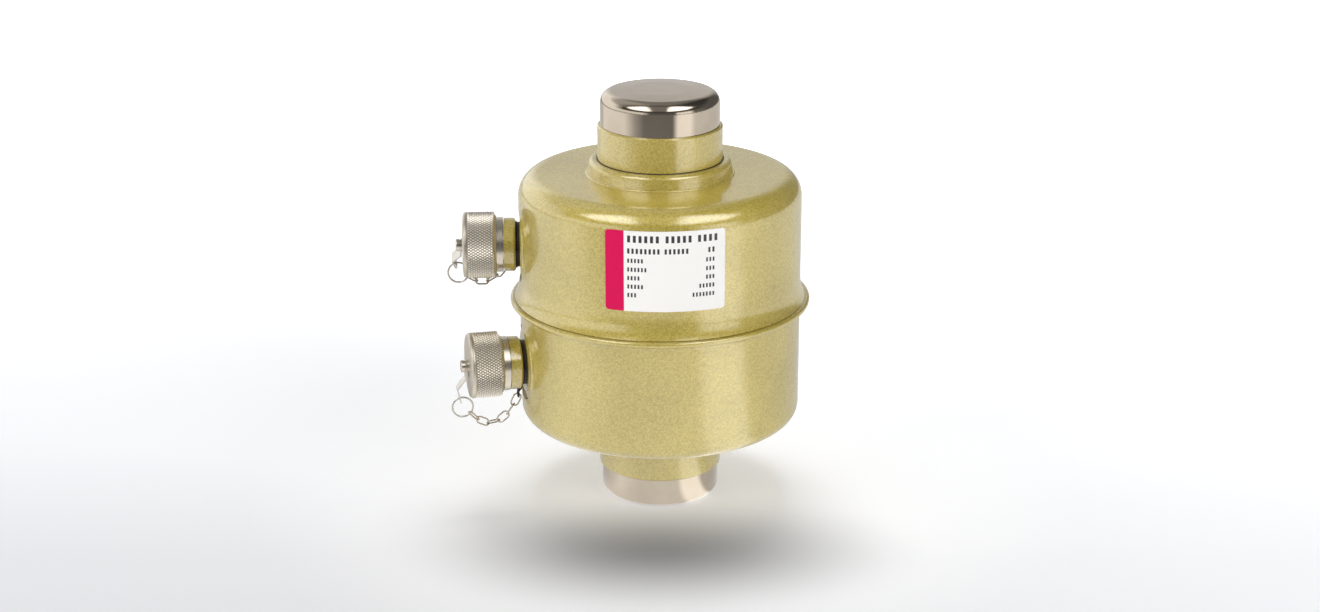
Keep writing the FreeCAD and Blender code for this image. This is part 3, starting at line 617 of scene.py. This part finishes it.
@dataclass
class Studio:
    """A pale floor, soft lamps and the camera.

    The room and the floor are brighter in some zones than in others, but only in reflections.
    Zones are rows of places with strengths: by bearing in degrees from the camera's side, by
    degrees above the horizon, or by the sideways part of a direction, from -1 to 1.

    Attributes:
        camera_distance: from the camera to the point it looks at, in metres.
        camera_elevation: how far the camera looks down, in degrees.
        aim_height: height of the point it looks at, in metres.
        focal_mm: focal length on the sensor.
        sensor_mm: the sensor's width.
        drop_px: how far the aimed point lies above the picture's middle, in pixels.
        picture_px: the picture's width.
        nearest: what is closer to the camera than this many metres isn't drawn.
        lamps: the soft boxes.
        lamp_reach: the lamps' distance from the point that the camera looks at, in metres.
        fill: the room's strength as plain light.
        wall_zones: the walls in front of the object, by bearing.
        ceiling: the strength over those walls.
        wall_fade: where the walls give way to the ceiling, in degrees above the horizon.
        rear_zones: the half room behind the object, by degrees above the horizon.
        rear_sides: what that is multiplied by, by the sideways part.
        rear_fade: where the front gives way to the rear, by a direction's part along Y.
        box_zones: two bright boxes overhead, by the sideways part.
        box_rise: where they start, in degrees above the horizon.
        box_end: where they end, by a direction's part along Y.
        box_gain: what they are multiplied by.
        cards_size: width of the reflected floor in metres.
        cards_height: its height over the floor in metres.
        cards_near: the reflected floor close to the object, by bearing.
        cards_far: the reflected floor further out, by bearing.
        cards_fade: where the near cards give way to the far ones, in metres from the axis.
        floor_size: the floor's width in metres.
        paper: the floor's own colour.
        shade: the floor's colour in the middle of an oval shadow painted in front of the base.
        shade_middle: the painted shadow's middle.
        shade_squeeze: how much shorter the painted shadow's oval is along each axis than along X.
        shade_reach: the painted oval's half width in metres.
        glow: painted light that only the camera sees, which makes the floor a lit backdrop, along Y in metres.
        glow_span: the two ends of that row.
        side_lift: what is added to the glow, from one place along X to another.
        foot_lift: the same near the axis, by distance from it, which paints light over the real shadow round the
            base.
        far_lift: the same far from the axis, by distance from it.
    """

    camera_distance: float = 0.800
    camera_elevation: float = 18.95
    aim_height: float = 0.075
    focal_mm: float = 60.93
    sensor_mm: float = 36.0
    drop_px: float = 13.3
    picture_px: float = 1320.0
    nearest: float = 0.01
    lamps: tuple[SoftBox, ...] = (
        SoftBox("left_box", -60.0, 14.0, 0.9, 0.9, 6.4),
        SoftBox("right_box", 45.0, 12.0, 0.6, 0.9, 6.0),
        SoftBox("top_box", 180.0, 74.0, 0.45, 0.45, 4.4),
    )
    lamp_reach: float = 1.0
    fill: float = 0.28
    wall_zones: Zones = (
        (-180.0, 0.5), (-140.0, 0.5), (-130.0, 1.1), (-34.0, 1.1), (-20.0, 0.15), (28.0, 0.15),
        (34.0, 1.3), (60.0, 1.3), (68.0, 0.2), (180.0, 0.2))
    ceiling: float = 0.08
    wall_fade: Span = (14.0, 20.0)
    rear_zones: Zones = ((0.0, 0.66), (27.0, 0.66), (38.0, 0.28), (90.0, 0.28))
    rear_sides: Zones = ((-1.0, 1.9), (-0.3, 1.9), (-0.1, 1.0), (0.15, 1.0), (0.4, 0.2),
                         (1.0, 0.2))
    rear_fade: Span = (-0.15, 0.25)
    box_zones: Zones = (
        (-1.0, 0.0), (-0.82, 0.0), (-0.72, 1.6), (-0.36, 1.6), (-0.22, 0.1), (0.16, 0.1),
        (0.28, 1.6), (0.72, 1.6), (0.8, 0.0), (1.0, 0.0))
    box_rise: Span = (28.0, 36.0)
    box_end: Span = (-0.25, -0.08)
    box_gain: float = 1.9
    cards_size: float = 3.0
    cards_height: float = 0.0005
    cards_near: Zones = (
        (-180.0, 0.6), (-110.0, 0.6), (-64.0, 1.1), (-30.0, 0.95), (26.0, 0.95), (34.0, 1.6),
        (60.0, 1.6), (68.0, 0.7), (180.0, 0.6))
    cards_far: Zones = (
        (-180.0, 0.7), (-142.0, 0.7), (-132.0, 1.15), (-70.0, 1.15), (-48.0, 0.5), (-30.0, 0.22),
        (24.0, 0.22), (34.0, 1.45), (58.0, 1.45), (70.0, 0.92), (180.0, 0.7))
    cards_fade: Span = (0.2, 0.42)
    floor_size: float = 12.0
    paper: str = "#EAEBEE"
    # painted shadow: the floor's colour darkens towards this in an oval in front of the base
    shade: str = "#A9AAAE"
    shade_middle: tuple[float, float, float] = (0.0, -0.056, 0.0)
    shade_squeeze: tuple[float, float, float] = (1.0, 1.9, 0.0)
    shade_reach: float = 0.1
    # painted glow, seen only by the camera
    glow: Zones = (
        (-0.1, 0.0), (-0.06, 0.03), (-0.014, 0.1), (0.033, 0.18), (0.085, 0.23), (0.2, 0.36),
        (0.9, 0.7))
    glow_span: Span = (-0.1, 0.9)
    side_lift: tuple[float, float, float, float] = (-0.1, 0.24, 0.0, 0.16)
    foot_lift: tuple[float, float, float, float] = (0.03, 0.15, 0.13, 0.0)
    far_lift: tuple[float, float, float, float] = (0.32, 0.65, 0.0, 0.9)

    def aim(self) -> Vector:
        """The point that the camera and the lamps look at.

        Returns:
            The point, in metres.
        """
        return Vector((0.0, 0.0, self.aim_height))

    def camera(self) -> None:
        """Set up the camera at the photographer's place."""
        data = bpy.data.cameras.new("camera")
        data.lens = self.focal_mm
        data.sensor_width = self.sensor_mm
        data.shift_y = -self.drop_px / self.picture_px
        data.clip_start = self.nearest
        thing = bpy.data.objects.new("camera", data)
        bpy.context.scene.collection.objects.link(thing)
        lean = math.radians(self.camera_elevation)
        back = Vector((0.0, -math.cos(lean), math.sin(lean)))
        thing.location = self.aim() + back * self.camera_distance
        thing.rotation_euler = (math.pi / 2 - lean, 0.0, 0.0)
        bpy.context.scene.camera = thing

    def reflected_room(self, tree: Tree, look: Link) -> Link:
        """How bright the room is in reflections.

        Args:
            tree: the world's tree.
            look: the direction that the room is seen in.

        Returns:
            The strength's output.
        """
        parts = add_node(tree, "ShaderNodeSeparateXYZ", (look,))
        across, depth, up = (parts.outputs[axis] for axis in "XYZ")
        lean = add_node(tree, "ShaderNodeMath", (up,), operation="ARCSINE").outputs[0]
        rise = add_node(tree, "ShaderNodeMath", (lean,), operation="DEGREES").outputs[0]
        walls = zoned(tree, bearing(tree, look), self.wall_zones, TURN)
        front = add_node(tree, "ShaderNodeMapRange",
                         (rise, *self.wall_fade, walls, self.ceiling)).outputs[0]
        rear = add_node(tree, "ShaderNodeMath", (
            zoned(tree, rise, self.rear_zones, QUARTER),
            zoned(tree, across, self.rear_sides, SIDEWAYS),
        ), operation="MULTIPLY").outputs[0]
        room = add_node(tree, "ShaderNodeMapRange",
                        (depth, *self.rear_fade, front, rear)).outputs[0]
        boxes = zoned(tree, across, self.box_zones, SIDEWAYS)
        for place, fade, ends in ((rise, self.box_rise, (0.0, self.box_gain)),
                                  (depth, self.box_end, (1.0, 0.0))):
            share = add_node(tree, "ShaderNodeMapRange", (place, *fade, *ends)).outputs[0]
            boxes = add_node(tree, "ShaderNodeMath", (boxes, share),
                             operation="MULTIPLY").outputs[0]
        return add_node(tree, "ShaderNodeMath", (room, boxes), operation="ADD").outputs[0]

    def world(self) -> None:
        """A white room: white to the camera, dim as plain light, and zoned in reflections."""
        world = bpy.data.worlds.new("studio")
        world.use_nodes = True
        tree = world.node_tree
        tree.nodes.clear()
        look = add_node(tree, "ShaderNodeTexCoord").outputs["Generated"]
        ray = add_node(tree, "ShaderNodeLightPath")
        plain = add_node(tree, "ShaderNodeMapRange",
                         (ray.outputs["Is Camera Ray"], *SHARE, self.fill, 1.0)).outputs[0]
        mirrored = self.reflected_room(tree, look)
        strength = add_node(tree, "ShaderNodeMapRange",
                            (ray.outputs["Is Glossy Ray"], *SHARE, plain, mirrored)).outputs[0]
        room = add_node(tree, "ShaderNodeBackground", {"Color": WHITE, "Strength": strength})
        add_node(tree, "ShaderNodeOutputWorld", {"Surface": room.outputs[0]})
        bpy.context.scene.world = world

    def sheet(self, name: str, finish: str, size: float, height: float) -> bpy.types.Object:
        """Lay a square sheet with an empty material.

        Args:
            name: the sheet's name.
            finish: the material's name.
            size: the sheet's width in metres.
            height: its height in metres.

        Returns:
            The sheet.
        """
        plain_selection()
        bpy.ops.mesh.primitive_plane_add(size=size, location=(0.0, 0.0, height))
        thing = bpy.context.object
        thing.name = name
        bpy.ops.object.transform_apply(location=True)
        paint(thing, empty_material(finish))
        return thing

    def floor(self) -> None:
        """The plain floor, which keeps the object's shadow and goes white towards the back.

        Its colour has a shadow oval painted in front of the base, and the camera alone sees a
        painted glow on it, kept out of that oval and lifted round the base.
        """
        thing = self.sheet("floor", "white_paper", self.floor_size, 0.0)
        tree = thing.active_material.node_tree
        place = add_node(tree, "ShaderNodeTexCoord").outputs["Object"]
        parts = add_node(tree, "ShaderNodeSeparateXYZ", (place,))
        reach = add_node(tree, "ShaderNodeVectorMath", (place,),
                         operation="LENGTH").outputs["Value"]
        offset = add_node(tree, "ShaderNodeVectorMath", (place, self.shade_middle),
                          operation="SUBTRACT").outputs[0]
        oval = add_node(tree, "ShaderNodeVectorMath", (offset, self.shade_squeeze),
                        operation="MULTIPLY").outputs[0]
        away = add_node(tree, "ShaderNodeVectorMath", (oval,),
                        operation="LENGTH").outputs["Value"]
        # the painted shadow oval: 0 at its middle, 1 outside it
        clear = add_node(tree, "ShaderNodeMapRange", (away, 0.0, self.shade_reach, *SHARE),
                         interpolation_type="SMOOTHSTEP").outputs[0]
        # the painted glow, kept out of the painted shadow and seen only by the camera
        glow = zoned(tree, parts.outputs["Y"], self.glow, self.glow_span)
        for value, span in ((parts.outputs["X"], self.side_lift), (reach, self.foot_lift),
                            (reach, self.far_lift)):
            lift = add_node(tree, "ShaderNodeMapRange", (value, *span)).outputs[0]
            glow = add_node(tree, "ShaderNodeMath", (glow, lift), operation="ADD").outputs[0]
        ray = add_node(tree, "ShaderNodeLightPath")
        for share in (clear, ray.outputs["Is Camera Ray"]):
            glow = add_node(tree, "ShaderNodeMath", (glow, share),
                            operation="MULTIPLY").outputs[0]
        colour = add_node(tree, "ShaderNodeMix", {
            MixSocket.SHARE: clear,
            MixSocket.FIRST: linear(self.shade),
            MixSocket.SECOND: linear(self.paper),
        }, data_type="RGBA").outputs[MixSocket.RESULT]
        shader = add_node(tree, "ShaderNodeBsdfPrincipled", {
            "Base Color": colour, "Roughness": 0.9, "Specular IOR Level": 0.0,
            "Emission Color": WHITE, "Emission Strength": glow})
        add_node(tree, "ShaderNodeOutputMaterial", {"Surface": shader.outputs["BSDF"]})

    def reflected_floor(self) -> None:
        """Dark and bright cards on the floor, which only reflections show."""
        thing = self.sheet("floor_cards", "floor_cards", self.cards_size, self.cards_height)
        tree = thing.active_material.node_tree
        place = add_node(tree, "ShaderNodeTexCoord").outputs["Object"]
        reach = add_node(tree, "ShaderNodeVectorMath", (place,),
                         operation="LENGTH").outputs["Value"]
        turn = bearing(tree, place)
        near = zoned(tree, turn, self.cards_near, TURN)
        far = zoned(tree, turn, self.cards_far, TURN)
        strength = add_node(tree, "ShaderNodeMapRange",
                            (reach, *self.cards_fade, near, far)).outputs[0]
        cards = add_node(tree, "ShaderNodeEmission", {"Color": WHITE, "Strength": strength})
        add_node(tree, "ShaderNodeOutputMaterial", {"Surface": cards.outputs[0]})
        for kind in ("camera", "diffuse", "shadow", "transmission"):
            setattr(thing, f"visible_{kind}", False)

    def build(self) -> None:
        """Set up the whole studio."""
        bpy.context.scene.view_settings.view_transform = "Standard"
        self.camera()
        self.world()
        self.floor()
        self.reflected_floor()
        for lamp in self.lamps:
            lamp.hang(self.aim(), self.lamp_reach)
        LOG.info("studio: floor, world, camera and %d soft boxes", len(self.lamps))


@dataclass
class Dresser:
    """Gives each solid the finish that its record names.

    Attributes:
        finishes: the finish of each material slot.
        made: the materials built so far.
    """

    finishes: dict[str, Finish]
    made: dict[str, bpy.types.Material] = field(default_factory=dict)

    def material(self, slot: str) -> bpy.types.Material:
        """The material of a slot, built when it is first asked for.

        Args:
            slot: the slot's name.

        Returns:
            The material.
        """
        if slot not in self.made:
            self.made[slot] = self.finishes[slot].material()
        return self.made[slot]

    def dress(self) -> None:
        """Put each node's finish on it."""
        for part in frame["record"]["subparts"]:
            paint(frame["nodes"][part["node"]], self.material(part["material_slot"]))
            LOG.info("%s: %s", part["node"], part["material_slot"])


@dataclass
class ConnectorKnurl:
    """The diamond knurl on a cap's grip band.

    Attributes:
        which: the connector's name, upper or lower.
        pitch_mm: a diamond's width around the cap.
        diamond_mm: a diamond's length along the cap.
        depth_mm: depth of the knurl.
        rim_mm: length of the cap's plain outer end.
        bare_mm: length of the cap's plain inner end.
        band_drop_mm: how far the solid's plain band lies under the cap's rim.
        proud_mm: how far the grooves stand over that band, so that the faces don't flicker.
        sink_mm: how far the ring reaches into the cap, so that no gap shows.
        groove_shade: the colour of the painted shade down in the grooves.
        plate: the colour of the bright points.
    """

    which: str
    pitch_mm: float = 1.0
    diamond_mm: float = 1.72
    depth_mm: float = 0.32
    rim_mm: float = 1.5
    bare_mm: float = 0.7
    band_drop_mm: float = 0.2
    proud_mm: float = 0.02
    sink_mm: float = 0.85
    # painted shade down in the knurl's grooves
    groove_shade: str = "#5A4F41"
    plate: str = "#F4EDE0"

    def axis(self) -> tuple[Vector, Vector]:
        """The cap's axis.

        Returns:
            The cap's start on its axis in metres, and the way that the axis points outwards.
        """
        joint = next(j for j in frame["joints"] if j["name"] == f"{self.which}_cap_turn")
        return Vector(joint["pos_m"]), Vector(joint["axis"]).normalized()

    def cap_size(self) -> tuple[float, float]:
        """The cap's size, measured on its solid.

        Returns:
            The cap's length along its axis and its radius, in metres.
        """
        start, out = self.axis()
        rises, reaches = [], []
        for corner in frame["nodes"][f"{self.which}_dust_cap"].data.vertices:
            offset = corner.co - start
            rises.append(offset.dot(out))
            reaches.append((offset - out * offset.dot(out)).length)
        return max(rises), max(reaches)

    def build(self) -> None:
        """Model the knurled ring and put it on the cap."""
        length, radius = self.cap_size()
        band = length - (self.rim_mm + self.bare_mm) * MM
        root = radius - (self.band_drop_mm - self.proud_mm) * MM
        starts = round(2 * math.pi * radius / (self.pitch_mm * MM))
        rows = round(band / (self.diamond_mm * MM))
        plain_selection()
        bpy.ops.mesh.primitive_cylinder_add(vertices=starts, radius=root, depth=band,
                                            end_fill_type="NOTHING")
        ring = bpy.context.object
        ring.name = f"{self.which}_cap_knurl"
        picker = Picker(ring)
        picker.edges(lambda a, b: abs(a.z - b.z) > band / 2)
        picker.run(lambda: bpy.ops.mesh.subdivide(number_cuts=rows - 1))
        self.cut_diamonds(picker, band, root)
        self.close(picker, band, root)
        start, out = self.axis()
        middle = start + out * (self.bare_mm * MM + band / 2)
        turn = out.to_track_quat("Z", "Y").to_matrix().to_4x4()
        set_place(ring, Matrix.Translation(middle) @ turn)
        finish = KnurledPlate(f"{self.which}_knurled_plate", self.groove_shade, self.plate, tuple(start),
                              tuple(out), root, self.depth_mm * MM)
        paint(ring, finish.material())
        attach(ring, f"{self.which}_cap")
        LOG.info("%s: %d starts, %d rows", ring.name, starts, rows)

    def cut_diamonds(self, picker: Picker, band: float, root: float) -> None:
        """Turn the square cells into diamonds with raised points.

        Args:
            picker: the ring's picker.
            band: the ring's length in metres.
            root: the radius of the grooves in metres.
        """
        picker.run(lambda: bpy.ops.mesh.select_all(action="SELECT"),
                   lambda: bpy.ops.mesh.poke(offset=0.0), mode="FACE")

        def inner_side(first: Vector, second: Vector) -> bool:
            """Tell a side of the old cells from a spoke and from the ring's two ends.

            Args:
                first: the edge's first point.
                second: the edge's second point.

            Returns:
                True for a side between two cells.
            """
            on_root = all(abs(math.hypot(p.x, p.y) - root) < NEAR for p in (first, second))
            at_end = all(abs(abs(p.z) - band / 2) < NEAR for p in (first, second))
            return on_root and not at_end

        picker.edges(inner_side)
        picker.run(lambda: bpy.ops.mesh.dissolve_edges(use_verts=False))
        depth = self.depth_mm * MM
        picker.run(lambda: bpy.ops.mesh.select_all(action="SELECT"),
                   lambda: bpy.ops.mesh.poke(offset=depth), mode="FACE")

    def close(self, picker: Picker, band: float, root: float) -> None:
        """Give the ring its inner wall, so that it is a closed solid.

        Args:
            picker: the ring's picker.
            band: the ring's length in metres.
            root: the radius of the grooves in metres.
        """
        inner = (root - self.sink_mm * MM) / root
        for side in (-1, 1):
            level = side * band / 2
            picker.edges(lambda a, b, z=level: abs(a.z - z) < NEAR and abs(b.z - z) < NEAR)
            picker.run(lambda: bpy.ops.mesh.extrude_edges_move(),
                       lambda: bpy.ops.transform.resize(value=(inner, inner, 1.0)))
        limit = root * (1 + inner) / 2
        picker.edges(lambda a, b: math.hypot(a.x, a.y) < limit and math.hypot(b.x, b.y) < limit)
        picker.run(lambda: bpy.ops.mesh.bridge_edge_loops(),
                   lambda: bpy.ops.mesh.select_all(action="SELECT"),
                   lambda: bpy.ops.mesh.normals_make_consistent(inside=False))


@dataclass
class NeckBeads:
    """Two fine beads at a neck ring: black sealant as painted gap shade at the sleeve, painted solder at the foot.

    Attributes:
        end: which end of the housing, upper or lower.
        sealant_shade_mm: half thickness of the black sealant bead, which paints the shade of the gap.
        sealant_shade_out: how far its middle stands off the sleeve, as a share of that.
        solder_mm: the solder bead's half thickness.
        ring_wall_mm: the ring's thickness at its foot.
        ring_height_mm: how far the ring stands off the housing.
        turns: faces round a bead's long way.
        sides: faces round its short way.
    """

    end: str
    sealant_shade_mm: float = 0.24
    sealant_shade_out: float = 0.8
    solder_mm: float = 0.5
    ring_wall_mm: float = 3.8
    ring_height_mm: float = 5.2
    turns: int = 144
    sides: int = 12

    def build(self, dresser: Dresser) -> None:
        """Model both beads.

        Args:
            dresser: gives the finishes.
        """
        low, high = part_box(f"{self.end}_neck_ring")
        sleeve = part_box(f"{self.end}_sleeve")[1].x
        face, inwards = (high.z, -1.0) if self.end == "upper" else (low.z, 1.0)
        foot = face + inwards * self.ring_height_mm * MM
        # a black sealant bead against the sleeve, which is painted shade for the gap there
        self.bead("neck_sealant_shade", sleeve + self.sealant_shade_out * self.sealant_shade_mm * MM, face, self.sealant_shade_mm,
                  "black_rubber", dresser)
        self.bead("neck_solder", sleeve + self.ring_wall_mm * MM, foot, self.solder_mm,
                  "gold_paint", dresser)

    def bead(self, name: str, radius: float, height: float, thick_mm: float, slot: str,
             dresser: Dresser) -> None:
        """Model one bead and let it ride with the housing.

        Args:
            name: the bead's name without its end.
            radius: from the axis to the bead's middle, in metres.
            height: the bead's height above the floor, in metres.
            thick_mm: half of the bead's thickness.
            slot: the bead's material slot.
            dresser: gives the finish.
        """
        plain_selection()
        bpy.ops.mesh.primitive_torus_add(major_segments=self.turns, minor_segments=self.sides,
                                         major_radius=radius, minor_radius=thick_mm * MM)
        made = bpy.context.object
        made.name = f"{self.end}_{name}"
        set_place(made, Matrix.Translation((0.0, 0.0, height)))
        bpy.ops.object.shade_smooth()
        paint(made, dresser.material(slot))
        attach(made, "housing")
        LOG.info("%s: radius %.1f mm", made.name, radius / MM)


@dataclass(frozen=True)
class PrintRow:
    """A row of plain blocks.

    Attributes:
        foot_mm: the row's height above the floor.
        tall_mm: a block's height.
        left: how many blocks each word at the left has.
        right: how many blocks stand at the right.
    """

    foot_mm: float
    tall_mm: float
    left: tuple[int, ...]
    right: int = 0


@dataclass
class RatingPrint:
    """The ink on the rating label: rows of plain blocks in place of words.

    Attributes:
        rows: the rows.
        left_mm: where the rows start, across the front.
        right_mm: where they end.
        wide_share: a block's width as a share of its height.
        gap_share: the gap beside a block as a share of its height.
        word_gap: the gap after a word, in steps from block to block.
        ink_mm: how far the ink stands off the label.
        sink_mm: how far it reaches into the label.
    """

    rows: tuple[PrintRow, ...] = (
        PrintRow(109.5, 2.4, (6, 5, 4)),
        PrintRow(105.6, 1.8, (8, 6), 2),
        PrintRow(102.4, 1.45, (5,), 3),
        PrintRow(99.3, 1.45, (6,), 3),
        PrintRow(96.3, 1.45, (4,), 3),
        PrintRow(93.3, 1.45, (5,), 5),
        PrintRow(90.3, 1.45, (3,), 7),
    )
    left_mm: float = -11.0
    right_mm: float = 18.6
    wide_share: float = 0.42
    gap_share: float = 0.38
    word_gap: float = 0.7
    ink_mm: float = 0.02
    sink_mm: float = 0.01

    def blocks(self) -> list[tuple[float, float, float, float]]:
        """Lay out the blocks.

        Returns:
            Left edge, right edge, foot and top of every block, in millimetres.
        """
        found = []
        for row in self.rows:
            step = row.tall_mm * (self.wide_share + self.gap_share)
            wide = row.tall_mm * self.wide_share
            edges, start = [], self.left_mm
            for word in row.left:
                edges += [start + step * index for index in range(word)]
                start += step * (word + self.word_gap)
            edges += [self.right_mm - wide - step * index for index in range(row.right)]
            found += [(edge, edge + wide, row.foot_mm, row.foot_mm + row.tall_mm)
                      for edge in edges]
        return found

    def build(self, face: float, material: bpy.types.Material) -> None:
        """Model the blocks, wrap them on the label and let them ride with it.

        Args:
            face: the label's outer radius in metres.
            material: the ink.
        """
        made = []
        thick = (self.ink_mm + self.sink_mm) * MM
        for left, right, foot, top in self.blocks():
            plain_selection()
            bpy.ops.mesh.primitive_cube_add(size=1.0)
            block = bpy.context.object
            block.scale = ((right - left) * MM, thick, (top - foot) * MM)
            block.location = ((left + right) / 2 * MM, -thick / 2, (foot + top) / 2 * MM)
            made.append(block)
        plain_selection(made[0])
        for block in made:
            block.select_set(True)
        bpy.ops.object.join()
        ink = bpy.context.object
        ink.name = "rating_label_ink"
        plain_selection(ink)
        bpy.ops.object.transform_apply(location=True, rotation=True, scale=True)
        self.wrap(ink, face - self.sink_mm * MM)
        paint(ink, material)
        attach(ink, "housing")
        LOG.info("%s: %d blocks", ink.name, len(made))

    def wrap(self, ink: bpy.types.Object, radius: float) -> None:
        """Bend the flat ink round the housing.

        Args:
            ink: the flat ink, with its back on the plane of X and Z.
            radius: the radius that its back lies on, in metres.
        """
        across = [corner.co.x for corner in ink.data.vertices]
        bend = ink.modifiers.new("wrap", "SIMPLE_DEFORM")
        bend.deform_method = "BEND"
        bend.deform_axis = "Z"
        bend.angle = (max(across) - min(across)) / radius
        plain_selection(ink)
        bpy.ops.object.modifier_apply(modifier=bend.name)
        set_place(ink, Matrix.Translation((0.0, -radius, 0.0)))


def main() -> None:
    """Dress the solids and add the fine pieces."""
    logging.basicConfig(level=logging.INFO, format="%(message)s")
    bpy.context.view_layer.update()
    dresser = Dresser(FINISHES)
    dresser.dress()
    for which in ("upper", "lower"):
        ConnectorKnurl(which).build()
        NeckBeads(which).build(dresser)
    low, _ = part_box("rating_label")
    RatingPrint().build(-low.y, dresser.material("label_ink"))
    Studio().build()


if __name__ == "__main__":
    main()
